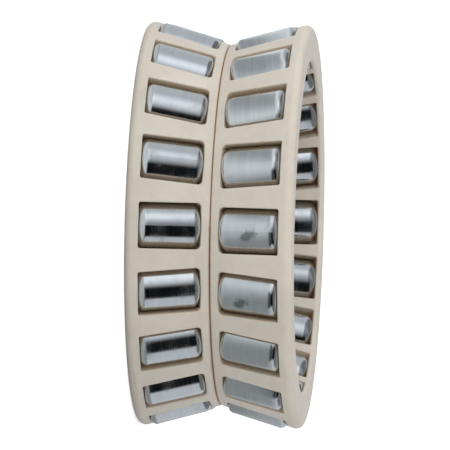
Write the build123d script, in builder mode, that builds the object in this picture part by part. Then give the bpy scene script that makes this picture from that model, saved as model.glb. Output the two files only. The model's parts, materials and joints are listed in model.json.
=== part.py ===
from build123d import *
import math
import os

# A double-row roller and cage set: two conical polymer cages stand small end to small end,
# and each holds one row of short cylindrical steel rollers tilted by the contact angle.
# Millimetres. +Z is the bearing axis, and the origin is the centre of the set, on its seam.

# Rollers
ROLLER_DIAMETER = 6.0
ROLLER_LENGTH = 8.0
ROLLER_EDGE_RADIUS = 0.8
ROLLERS_PER_ROW = 18

# Cages
CONTACT_ANGLE = 16.0         # half-angle of the cages' cones, in degrees
SEAM_RADIUS = 23.65          # outer surface where the two cages meet
CAGE_WIDTH = 10.75           # of one cage, along the axis
WALL_THICKNESS = 4.7         # square to the cone
SEAM_GAP = 0.05              # between the cages' small end faces
LARGE_END_OUTER_EDGE = 0.85  # edge radii of the cage's four rims
LARGE_END_BORE_EDGE = 0.5
SMALL_END_OUTER_EDGE = 0.3
SMALL_END_BORE_EDGE = 0.3

# Pockets
POCKET_MIDDLE = 5.0          # from the seam to the pocket's middle, on the outer surface
ROLLER_PROUD = 0.6           # how far a roller stands out of the outer surface
SEAT_CLEARANCE = 0.08        # between a roller and its curved seat
END_PLAY = 0.06              # between a roller's end and the pocket's end wall
LIP_OVERLAP = 0.04           # how much narrower the mouth is than the roller, each side
LARGE_END_CORNER_RADIUS = 0.25  # of the mouth, in plan
SMALL_END_CORNER_RADIUS = 0.6
MOUTH_EDGE_RADIUS = 0.15

# The two rows at rest
LOWER_FIRST_AZIMUTH = 10.0   # degrees, so that a pocket faces -Y
ROW_OFFSET = 1.1             # degrees by which the upper row is turned from the lower row

ROLLER_RADIUS = ROLLER_DIAMETER / 2
SLOPE = math.tan(math.radians(CONTACT_ANGLE))
COSINE = math.cos(math.radians(CONTACT_ANGLE))
SINE = math.sin(math.radians(CONTACT_ANGLE))
PITCH_ANGLE = 360 / ROLLERS_PER_ROW
CUT_REACH = 3 * WALL_THICKNESS
LOWER = -1
UPPER = 1


def outer_radius(height):
    """Radius of a cage's outer cone at a height above or below the seam."""
    return SEAM_RADIUS + abs(height) * SLOPE


def inner_radius(height):
    """Radius of a cage's inner cone at a height above or below the seam."""
    return outer_radius(height) - WALL_THICKNESS / COSINE


def roller_plane(side, azimuth):
    """Plane at a roller's centre: z runs to the large end, x points square out of the cone."""
    around = math.radians(azimuth)
    outward = Vector(math.cos(around), math.sin(around), 0)
    along = outward * SINE + Vector(0, 0, side * COSINE)
    square_out = outward * COSINE - Vector(0, 0, side * SINE)
    middle = outward * outer_radius(POCKET_MIDDLE) + Vector(0, 0, side * POCKET_MIDDLE)
    centre = middle - square_out * (ROLLER_RADIUS - ROLLER_PROUD)
    return Plane(origin=centre, x_dir=square_out, z_dir=along)


def make_roller(side, azimuth):
    """Solid cylindrical roller with rounded end edges."""
    plane = roller_plane(side, azimuth)
    with BuildPart() as roller:
        with BuildSketch(plane.offset(-ROLLER_LENGTH / 2)):
            Circle(ROLLER_RADIUS)
        extrude(amount=ROLLER_LENGTH)
        fillet(roller.edges().filter_by(GeomType.CIRCLE), ROLLER_EDGE_RADIUS)
    return roller


def make_pocket_cutter(side):
    """Space for one roller at azimuth 0: a curved seat with a straight mouth each way."""
    plane = roller_plane(side, 0)
    mouth_plane = Plane(origin=plane.origin, x_dir=plane.z_dir, z_dir=plane.x_dir)
    length = ROLLER_LENGTH + 2 * END_PLAY
    with BuildPart() as cutter:
        with BuildSketch(plane.offset(-length / 2)):
            Circle(ROLLER_RADIUS + SEAT_CLEARANCE)
        extrude(amount=length)
        with BuildSketch(mouth_plane.offset(-CUT_REACH / 2)) as mouth:
            Rectangle(length, ROLLER_DIAMETER - 2 * LIP_OVERLAP)
            fillet(mouth.vertices().group_by(Axis.X)[0], SMALL_END_CORNER_RADIUS)
            fillet(mouth.vertices().group_by(Axis.X)[-1], LARGE_END_CORNER_RADIUS)
        extrude(amount=CUT_REACH)
    return cutter


def make_cage(side, first_azimuth):
    """Conical ring with one pocket for each roller of the row."""
    seam = SEAM_GAP / 2
    cutter = make_pocket_cutter(side)
    with BuildPart() as cage:
        with BuildSketch(Plane.XZ) as section:
            with BuildLine():
                Polyline(
                    (inner_radius(seam), side * seam),
                    (outer_radius(seam), side * seam),
                    (outer_radius(CAGE_WIDTH), side * CAGE_WIDTH),
                    (inner_radius(CAGE_WIDTH), side * CAGE_WIDTH),
                    close=True,
                )
            make_face()
            # each fillet leaves two corners for one, so the next is looked up among the new ones
            fillet(section.vertices().sort_by(Axis.X)[0], SMALL_END_BORE_EDGE)
            fillet(section.vertices().sort_by(Axis.X)[2], LARGE_END_BORE_EDGE)
            fillet(section.vertices().sort_by(Axis.X)[-1], LARGE_END_OUTER_EDGE)
            fillet(section.vertices().sort_by(Axis.X)[-3], SMALL_END_OUTER_EDGE)
        revolve(axis=Axis.Z)
        with PolarLocations(0, ROLLERS_PER_ROW, start_angle=first_azimuth):
            add(cutter.part, mode=Mode.SUBTRACT)
        cones = cage.faces().filter_by(GeomType.CONE).sort_by(SortBy.AREA)
        for cone in cones[-2:]:  # the outside and the bore
            fillet([edge for wire in cone.inner_wires() for edge in wire.edges()], MOUTH_EDGE_RADIUS)
    return cage


def write_step(piece, label):
    """Label a finished piece and write it to its own file."""
    piece.part.label = label
    export_step(piece.part, f"parts/{label}.step")


os.makedirs("parts", exist_ok=True)

rows = {
    "lower": (LOWER, LOWER_FIRST_AZIMUTH),
    "upper": (UPPER, LOWER_FIRST_AZIMUTH + ROW_OFFSET),
}
for row_name, (side, first_azimuth) in rows.items():
    write_step(make_cage(side, first_azimuth), f"{row_name}_cage")
    for index in range(ROLLERS_PER_ROW):
        azimuth = first_azimuth + index * PITCH_ANGLE
        write_step(make_roller(side, azimuth), f"{row_name}_roller_{index + 1:02d}")
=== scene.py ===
import json
import math
import bpy
from mathutils import Matrix, Vector


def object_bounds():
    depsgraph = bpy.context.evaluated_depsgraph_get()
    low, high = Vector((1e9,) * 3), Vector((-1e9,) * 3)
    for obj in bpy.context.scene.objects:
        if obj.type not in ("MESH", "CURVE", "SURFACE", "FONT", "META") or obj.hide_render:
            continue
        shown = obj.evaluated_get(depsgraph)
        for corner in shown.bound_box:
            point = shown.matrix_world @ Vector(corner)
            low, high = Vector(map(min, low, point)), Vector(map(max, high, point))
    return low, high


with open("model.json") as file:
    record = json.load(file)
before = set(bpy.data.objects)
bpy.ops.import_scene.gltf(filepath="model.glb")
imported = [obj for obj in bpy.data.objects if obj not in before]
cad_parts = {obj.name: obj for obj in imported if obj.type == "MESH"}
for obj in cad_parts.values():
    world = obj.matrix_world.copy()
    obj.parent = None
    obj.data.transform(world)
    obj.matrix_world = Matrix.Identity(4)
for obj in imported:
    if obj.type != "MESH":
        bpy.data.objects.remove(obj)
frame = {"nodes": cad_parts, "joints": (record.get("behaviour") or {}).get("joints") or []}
cad_low, cad_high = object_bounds()

# Sizes are in metres, and angles in degrees unless a comment says otherwise. The bearing's axis is Z, and
# the seam between its cages is at height 0. An azimuth is counted round Z from -Y, positive towards -X.
MM = 0.001
joints = {joint["name"]: joint for joint in frame["joints"]}
ROLLERS_PER_ROW = sum(name.startswith("lower_roller") for name in frame["nodes"])
PITCH = 2 * math.pi / ROLLERS_PER_ROW  # radians from one roller to the next

# a roller's size, how far the painted shade in the pocket round it reaches, and how soft that shade's edge
# is
ROLLER_RADIUS = 3.0 * MM
ROLLER_HALF_LENGTH = 4.0 * MM
POCKET_SHADE_HALF_WIDTH = ROLLER_RADIUS + 0.06 * MM
POCKET_SHADE_HALF_LENGTH = ROLLER_HALF_LENGTH + 0.08 * MM
POCKET_SHADE_BLUR = 0.1 * MM


# ---------------------------------------------------------------- node helpers

class Graph:
    """Short calls for building a node tree."""

    def __init__(self, tree):
        self.tree = tree
        tree.nodes.clear()

    def node(self, kind, inputs=None, **settings):
        made = self.tree.nodes.new("ShaderNode" + kind)
        for name, value in settings.items():
            setattr(made, name, value)
        for name, value in (inputs or {}).items():
            self.put(made.inputs[name], value)
        return made

    def put(self, socket, value):
        if isinstance(value, bpy.types.NodeSocket):
            self.tree.links.new(value, socket)
        else:
            socket.default_value = value

    def math(self, operation, *values):
        made = self.node("Math", operation=operation)
        for socket, value in zip(made.inputs, values):
            self.put(socket, value)
        return made.outputs[0]

    def add(self, left, right):
        return self.math("ADD", left, right)

    def subtract(self, left, right):
        return self.math("SUBTRACT", left, right)

    def multiply(self, left, right):
        return self.math("MULTIPLY", left, right)

    def divide(self, left, right):
        return self.math("DIVIDE", left, right)

    def size_of(self, value):
        return self.math("ABSOLUTE", value)

    def vector(self, operation, *values):
        made = self.node("VectorMath", operation=operation)
        for socket, value in zip(made.inputs, values):
            self.put(socket, value)
        return made.outputs["Value" if operation in ("DOT_PRODUCT", "LENGTH") else "Vector"]

    def combine(self, x, y, z):
        return self.node("CombineXYZ", {"X": x, "Y": y, "Z": z}).outputs[0]

    def parts(self, vector):
        return self.node("SeparateXYZ", {"Vector": vector}).outputs

    def ramp(self, value, low, high, out_low=0.0, out_high=1.0):
        """Smooth step from out_low to out_high as value goes from low to high."""
        made = self.node("MapRange", interpolation_type="SMOOTHSTEP")
        for name, given in (("Value", value), ("From Min", low), ("From Max", high),
                            ("To Min", out_low), ("To Max", out_high)):
            self.put(made.inputs[name], given)
        return made.outputs[0]

    def window(self, value, rise, fall):
        """Up to 1 as value passes through rise, and back to 0 as it passes through fall."""
        return self.multiply(self.ramp(value, *rise), self.ramp(value, *fall, 1.0, 0.0))

    def noise(self, vector, scale, detail=2.0, roughness=0.5):
        """Noise from 0 to 1, with about `scale` of its largest features to the metre."""
        inputs = {"Vector": vector, "Scale": scale, "Detail": detail, "Roughness": roughness}
        return self.node("TexNoise", inputs).outputs["Fac"]

    def azimuth(self, parts):
        west, south = (self.multiply(part, -1.0) for part in (parts[0], parts[1]))
        return self.multiply(self.math("ARCTAN2", west, south), math.degrees(1.0))

    def mix(self, factor, low, high):
        made = self.node("Mix", data_type="RGBA")
        # 6 and 7 are the two colours: their names are shared with the sockets for other data types
        for key, value in (("Factor", factor), (6, low), (7, high)):
            self.put(made.inputs[key], value)
        return made.outputs[2]

    def bump(self, height, distance, strength=1.0, normal=None):
        made = self.node("Bump", {"Height": height, "Distance": distance, "Strength": strength})
        if normal is not None:
            self.put(made.inputs["Normal"], normal)
        return made.outputs["Normal"]

    def by_ray(self, lighting, mirrored, seen):
        """One shader for the light thrown on things, one for what steel mirrors, one for the camera."""
        paths = self.node("LightPath").outputs
        indirect = self.node("MixShader", {"Fac": paths["Is Glossy Ray"]})
        self.put(indirect.inputs[1], lighting.outputs[0])
        self.put(indirect.inputs[2], mirrored.outputs[0])
        chosen = self.node("MixShader", {"Fac": paths["Is Camera Ray"]})
        self.put(chosen.inputs[1], indirect.outputs[0])
        self.put(chosen.inputs[2], seen.outputs[0])
        return chosen

    def finish(self, shader, kind="OutputMaterial"):
        self.put(self.node(kind).inputs["Surface"], shader.outputs[0])


def new_material(name):
    material = bpy.data.materials.new(name)
    material.use_nodes = True
    return material, Graph(material.node_tree)


def colour(red, green, blue):
    return (red, green, blue, 1.0)


def dress(node_name, material):
    """Give a CAD node its finished material."""
    for slot in frame["nodes"][node_name].material_slots:
        slot.material = material


# ---------------------------------------------------------------- the rollers' own frames

class RollerPlace:
    """Nodes that find a point's place in the frame of the nearest roller of a row."""

    def __init__(self, graph, row):
        joint = joints[row + "_roller_01_spin"]
        axis, centre = Vector(joint["axis"]), Vector(joint["pos_m"])
        first = math.atan2(centre.y, centre.x)
        lean, reach = axis.xy.length, centre.xy.length
        self.point = graph.node("TexCoord").outputs["Object"]
        parts = graph.parts(self.point)
        self.height = parts[2]
        bearing = graph.math("ARCTAN2", parts[1], parts[0])
        index = graph.math("ROUND", graph.divide(graph.subtract(bearing, first), PITCH))
        snapped = graph.add(graph.multiply(index, PITCH), first)
        cosine, sine = graph.math("COSINE", snapped), graph.math("SINE", snapped)
        outward = graph.combine(cosine, sine, 0.0)
        across = graph.combine(graph.multiply(sine, -1.0), cosine, 0.0)

        def out_and_up(out, up):
            flat = graph.vector("MULTIPLY", outward, (out, out, 0.0))
            return graph.vector("ADD", flat, (0.0, 0.0, up))

        along = out_and_up(lean, axis.z)
        square_out = out_and_up(abs(axis.z), -math.copysign(lean, axis.z))
        offset = graph.vector("SUBTRACT", self.point, out_and_up(reach, centre.z))
        self.axial = graph.vector("DOT_PRODUCT", offset, along)
        self.across = graph.vector("DOT_PRODUCT", offset, across)
        self.out = graph.vector("DOT_PRODUCT", offset, square_out)
        # 0.5, 1.5, 2.5 ... for the row's rollers in turn
        self.number = graph.math("FLOORED_MODULO", graph.add(index, 0.5), float(ROLLERS_PER_ROW))


# ---------------------------------------------------------------- cage polymer

IVORY = colour(0.63, 0.565, 0.475)
IVORY_CLOUD = colour(0.68, 0.61, 0.515)
IVORY_MOTTLE = colour(0.71, 0.64, 0.545)
IVORY_EDGE = colour(0.76, 0.70, 0.61)
DUST = colour(0.46, 0.38, 0.28)
# painted shade: the brown of the pockets' walls and of the seam between the cages
POCKET_SHADE = colour(0.56, 0.41, 0.25)
SEAM_SHADE = colour(0.58, 0.36, 0.21)


def cage_polymer(row):
    """Natural moulded polyamide: warm ivory, faintly cloudy, matt, with brown painted shade in the pockets
    and the seam.
    """
    material, graph = new_material("cage_polymer_" + row)
    roller = RollerPlace(graph, row)
    clouds = graph.noise(roller.point, 130.0, 3.0)
    mottle = graph.noise(roller.point, 700.0, 2.0)
    specks = graph.noise(roller.point, 2600.0, 1.0)
    body = graph.mix(graph.ramp(clouds, 0.3, 0.7), IVORY, IVORY_CLOUD)
    body = graph.mix(graph.ramp(mottle, 0.35, 0.75, 0.0, 0.5), body, IVORY_MOTTLE)
    body = graph.mix(graph.ramp(specks, 0.66, 0.76, 0.0, 0.14), body, DUST)
    edges = graph.node("NewGeometry").outputs["Pointiness"]
    body = graph.mix(graph.ramp(edges, 0.52, 0.62, 0.0, 0.45), body, IVORY_EDGE)

    # painted shade: the pockets' walls are browned, more so deep inside, and so is the narrow seam between
    # the cages
    def inside(distance, half):
        return graph.ramp(graph.size_of(distance), half, half + POCKET_SHADE_BLUR, 1.0, 0.0)

    pocket_shade = graph.multiply(inside(roller.across, POCKET_SHADE_HALF_WIDTH),
                            inside(roller.axial, POCKET_SHADE_HALF_LENGTH))
    shade_depth = graph.ramp(graph.size_of(roller.out), 1.2 * MM, 2.3 * MM, 0.95, 0.15)
    body = graph.mix(graph.multiply(pocket_shade, shade_depth), body, POCKET_SHADE)
    # painted shade in the narrow seam between the cages
    seam_shade = graph.ramp(graph.size_of(roller.height), 0.04 * MM, 0.17 * MM, 0.85, 0.0)
    body = graph.mix(seam_shade, body, SEAM_SHADE)

    grain = graph.noise(roller.point, 4200.0, 3.0, 0.6)
    flow = graph.noise(roller.point, 420.0, 2.0)
    normal = graph.bump(grain, 0.012 * MM, 0.5)
    normal = graph.bump(flow, 0.06 * MM, 0.6, normal)
    graph.finish(graph.node("BsdfPrincipled", {
        "Base Color": body, "Roughness": graph.ramp(mottle, 0.3, 0.7, 0.44, 0.56), "Normal": normal,
        "IOR": 1.53, "Specular IOR Level": 0.45,
        "Subsurface Weight": 0.3, "Subsurface Radius": (1.6, 0.85, 0.4), "Subsurface Scale": 1.1 * MM,
    }))
    return material


# ---------------------------------------------------------------- roller steel

STEEL = colour(0.63, 0.665, 0.685)
STEEL_BAND = colour(0.68, 0.71, 0.725)
STEEL_LINE = colour(0.50, 0.53, 0.545)
STEEL_SMUDGE = colour(0.38, 0.40, 0.39)
STEEL_SMEAR = colour(0.17, 0.18, 0.175)
# how far from a roller's middle its crown starts, and how deep the crown is at its ends
CROWNS = {"lower": (3.0 * MM, 0.06 * MM), "upper": (2.85 * MM, 0.1 * MM)}
# The two smeared rollers are the upper row's numbers 13.5 and 14.5. Their smears lie a step apart, measured
# along the rollers.
SMEARED_ROW = "upper"
SMEAR_NUMBER = 14.0
SMEAR_STEP = 0.9 * MM
SMEAR_ACROSS = 0.6 * MM
SMEAR_HALF_LENGTH = 1.4 * MM
SMEAR_HALF_WIDTH = 1.1 * MM
SMEAR_SLANT = 0.5
SMEAR_RAGGEDNESS = 2.4


def finger_smear(graph, roller, ragged):
    """Amount of a fingertip's dark smear, a slanted ragged patch."""
    from_middle = graph.subtract(roller.number, SMEAR_NUMBER)
    along = graph.add(roller.axial, graph.multiply(from_middle, SMEAR_STEP))
    along = graph.add(along, graph.multiply(roller.across, SMEAR_SLANT))
    along = graph.divide(along, SMEAR_HALF_LENGTH)
    across = graph.divide(graph.subtract(roller.across, SMEAR_ACROSS), SMEAR_HALF_WIDTH)
    reach = graph.vector("LENGTH", graph.combine(along, across, 0.0))
    reach = graph.add(reach, graph.multiply(graph.subtract(ragged, 0.5), SMEAR_RAGGEDNESS))
    handled = graph.ramp(graph.size_of(from_middle), 0.6, 1.2, 1.0, 0.0)
    return graph.multiply(handled, graph.ramp(reach, 0.3, 0.9, 0.8, 0.0))


def roller_steel(row):
    """Ground and polished bearing steel: fine lines run round each roller about its own tilted axis."""
    material, graph = new_material("roller_steel_" + row)
    roller = RollerPlace(graph, row)

    # grinding lines and coarser bands, which are the same all the way round, and smudges, which are not
    shift = graph.multiply(roller.number, 0.37)
    lines = graph.noise(graph.combine(roller.axial, shift, 0.0), 5200.0, 2.0, 0.6)
    bands = graph.noise(graph.combine(roller.axial, shift, 1.0), 900.0, 1.0)
    drift = graph.combine(graph.multiply(roller.number, 0.013), 0.0, 0.0)
    drifted = graph.vector("ADD", roller.point, drift)
    smudge = graph.noise(drifted, 420.0, 3.0, 0.55)
    tint = graph.mix(graph.ramp(bands, 0.35, 0.7), STEEL, STEEL_BAND)
    tint = graph.mix(graph.ramp(lines, 0.35, 0.7, 0.3, 0.0), tint, STEEL_LINE)
    tint = graph.mix(graph.ramp(smudge, 0.60, 0.74, 0.0, 0.4), tint, STEEL_SMUDGE)
    if row == SMEARED_ROW:
        ragged = graph.noise(drifted, 900.0, 6.0, 0.75)
        tint = graph.mix(finger_smear(graph, roller, ragged), tint, STEEL_SMEAR)

    rough = graph.ramp(smudge, 0.45, 0.7, 0.10, 0.22)
    rough = graph.add(rough, graph.ramp(bands, 0.4, 0.7, 0.0, 0.05))
    rough = graph.add(rough, graph.ramp(lines, 0.46, 0.62, 0.0, 0.07))
    crown_start, crown_depth = CROWNS[row]
    crown = graph.ramp(graph.size_of(roller.axial), crown_start, ROLLER_HALF_LENGTH, 1.0, 0.0)
    normal = graph.bump(crown, crown_depth)
    normal = graph.bump(lines, 0.0016 * MM, 0.6, normal)
    normal = graph.bump(bands, 0.0008 * MM, 0.5, normal)
    graph.finish(graph.node("BsdfPrincipled", {
        "Base Color": tint, "Metallic": 1.0, "Roughness": rough, "Normal": normal,
    }))
    return material


polymers = {row: cage_polymer(row) for row in ("lower", "upper")}
steels = {row: roller_steel(row) for row in ("lower", "upper")}
for node_name in frame["nodes"]:
    row = node_name.split("_")[0]
    dress(node_name, polymers[row] if node_name.endswith("cage") else steels[row])


# ---------------------------------------------------------------- stage

WHITE = colour(1.0, 1.0, 1.0)
BLACK = colour(0.0, 0.0, 0.0)
FLOOR_HALF = 6.0
FLOOR_PAINT = colour(0.90, 0.90, 0.895), colour(0.93, 0.93, 0.925)
# The steel mirrors a dark unlit opening in the surroundings, and the floor's shaded stretch in front of it.
# Each is given by the azimuths or heights over which it comes in, and those over which it goes out again.
OPENING_AZIMUTHS = (-69.0, -55.0), (-9.0, 19.0)
OPENING_HEIGHTS = (-2.0, 5.0), (38.0, 50.0)
SHADE_AZIMUTHS = (-66.0, -56.0), (-4.0, 12.0)
# The floor that the steel mirrors: where along X it is palest, where that has faded, and how far out its
# near part gives way to the far one.
STRIPE = -13.0 * MM
STRIPE_FADED = -45.0 * MM, 30.0 * MM
NEAR_TO_FAR = 56.0 * MM, 74.0 * MM


def mirrored_floor(graph, place):
    """What polished steel sees of the floor: dim near the bearing, brighter far off except in the shade."""
    parts = graph.parts(place)
    near = graph.multiply(graph.ramp(parts[0], STRIPE, STRIPE_FADED[1], 0.82, 0.33),
                          graph.ramp(parts[0], STRIPE_FADED[0], STRIPE, 0.5, 1.0))
    azimuth = graph.azimuth(parts)
    shade = graph.multiply(graph.window(azimuth, *SHADE_AZIMUTHS), 0.93)
    beyond = graph.ramp(azimuth, SHADE_AZIMUTHS[0][0], SHADE_AZIMUTHS[1][1], 0.5, 0.95)
    far = graph.multiply(beyond, graph.subtract(1.0, shade))
    away = graph.ramp(graph.vector("LENGTH", place), *NEAR_TO_FAR)
    level = graph.add(graph.multiply(near, graph.subtract(1.0, away)), graph.multiply(far, away))
    grey = graph.vector("MULTIPLY", graph.combine(level, level, level), (0.96, 1.0, 1.02))
    return graph.node("Emission", {"Color": grey})


def make_floor():
    """Pale matt floor under the lower cage's large end."""
    corners = [(-FLOOR_HALF, -FLOOR_HALF), (FLOOR_HALF, -FLOOR_HALF),
               (FLOOR_HALF, FLOOR_HALF), (-FLOOR_HALF, FLOOR_HALF)]
    mesh = bpy.data.meshes.new("floor")
    mesh.from_pydata([(x, y, cad_low.z) for x, y in corners], [], [(0, 1, 2, 3)])
    floor = bpy.data.objects.new("floor", mesh)
    bpy.context.scene.collection.objects.link(floor)
    material, graph = new_material("floor_pale")
    place = graph.node("TexCoord").outputs["Object"]
    paint = graph.mix(graph.noise(place, 40.0, 2.0), *FLOOR_PAINT)
    seen = graph.node("BsdfPrincipled", {
        "Base Color": paint, "Roughness": 0.8, "Emission Color": WHITE, "Emission Strength": 0.5,
    })
    # the light that it throws back on the cages fades close to the bearing
    fading = graph.ramp(graph.vector("LENGTH", place), 28.0 * MM, 70.0 * MM, 0.68, 1.0)
    lighting = graph.node("BsdfDiffuse", {"Color": graph.mix(fading, BLACK, paint)})
    graph.finish(graph.by_ray(lighting, mirrored_floor(graph, place), seen))
    mesh.materials.append(material)


def make_camera():
    """Long lens, a little above the seam's plane, rolled so that the bearing's axis lies level."""
    distance = 0.95
    tilt, turn, roll = math.radians(5.3), math.radians(0.65), math.radians(91.5)
    aim_across = -0.25 * MM
    pixels_per_metre = 7620.0
    picture_pixels = 450
    back = Vector((-math.sin(turn) * math.cos(tilt), -math.cos(turn) * math.cos(tilt), math.sin(tilt)))
    data = bpy.data.cameras.new("camera")
    data.sensor_width = 36.0
    data.lens = pixels_per_metre * distance / picture_pixels * data.sensor_width
    data.clip_start, data.clip_end = 0.01, 50.0
    camera = bpy.data.objects.new("camera", data)
    level = (-back).to_track_quat("-Z", "Y").to_matrix()
    turned = level @ Matrix.Rotation(roll, 3, "Z")
    aim = turned.col[0] * aim_across
    camera.matrix_world = Matrix.Translation(aim + back * distance) @ turned.to_4x4()
    bpy.context.scene.collection.objects.link(camera)
    bpy.context.scene.camera = camera


def make_world():
    """Soft studio surroundings, brightest on the -X side. Steel mirrors them with one dark opening."""
    world = bpy.data.worlds.new("studio")
    world.use_nodes = True
    bpy.context.scene.world = world
    graph = Graph(world.node_tree)
    parts = graph.parts(graph.node("TexCoord").outputs["Generated"])
    azimuth = graph.azimuth(parts)
    height = graph.multiply(graph.math("ARCSINE", parts[2]), math.degrees(1.0))

    def background(level, strength):
        tone = graph.vector("MULTIPLY", graph.combine(level, level, level), (0.96, 0.99, 1.03))
        return graph.node("Background", {"Color": tone, "Strength": strength})

    # the light that falls on things
    bright_side = graph.ramp(azimuth, -40.0, 50.0, 0.84, 1.12)
    behind = graph.ramp(graph.size_of(azimuth), 130.0, 180.0, 1.0, 0.85)
    lighting = background(graph.multiply(bright_side, behind), strength=0.92)

    # what polished steel mirrors: brightest round azimuth 45, dimmer further round and overhead
    sides = graph.multiply(graph.ramp(azimuth, 8.0, 44.0, 0.66, 1.2),
                           graph.ramp(azimuth, 48.0, 84.0, 1.0, 0.52))
    sides = graph.multiply(sides, graph.ramp(height, 22.0, 29.0, 1.0, 0.30))
    opening = graph.multiply(graph.window(azimuth, *OPENING_AZIMUTHS),
                             graph.window(height, *OPENING_HEIGHTS))
    closed = graph.subtract(1.0, graph.multiply(opening, 0.995))
    mirrored = background(graph.multiply(sides, closed), strength=1.0)

    plain = graph.node("Background", {"Color": WHITE, "Strength": 1.0})
    graph.finish(graph.by_ray(lighting, mirrored, plain), "OutputWorld")


def make_light(name, direction, distance, size, energy):
    """Square area light that shines on the origin and that steel doesn't mirror."""
    data = bpy.data.lights.new(name, "AREA")
    data.shape = "SQUARE"
    data.size = size
    data.energy = energy
    light = bpy.data.objects.new(name, data)
    light.visible_glossy = False
    way = Vector(direction).normalized()
    facing = way.to_track_quat("Z", "Y").to_matrix().to_4x4()
    light.matrix_world = Matrix.Translation(way * distance) @ facing
    bpy.context.scene.collection.objects.link(light)


make_floor()
make_camera()
make_world()
make_light("key", direction=(-0.75, -1.0, 0.25), distance=1.2, size=0.7, energy=3.6)
bpy.context.scene.view_settings.view_transform = "Standard"
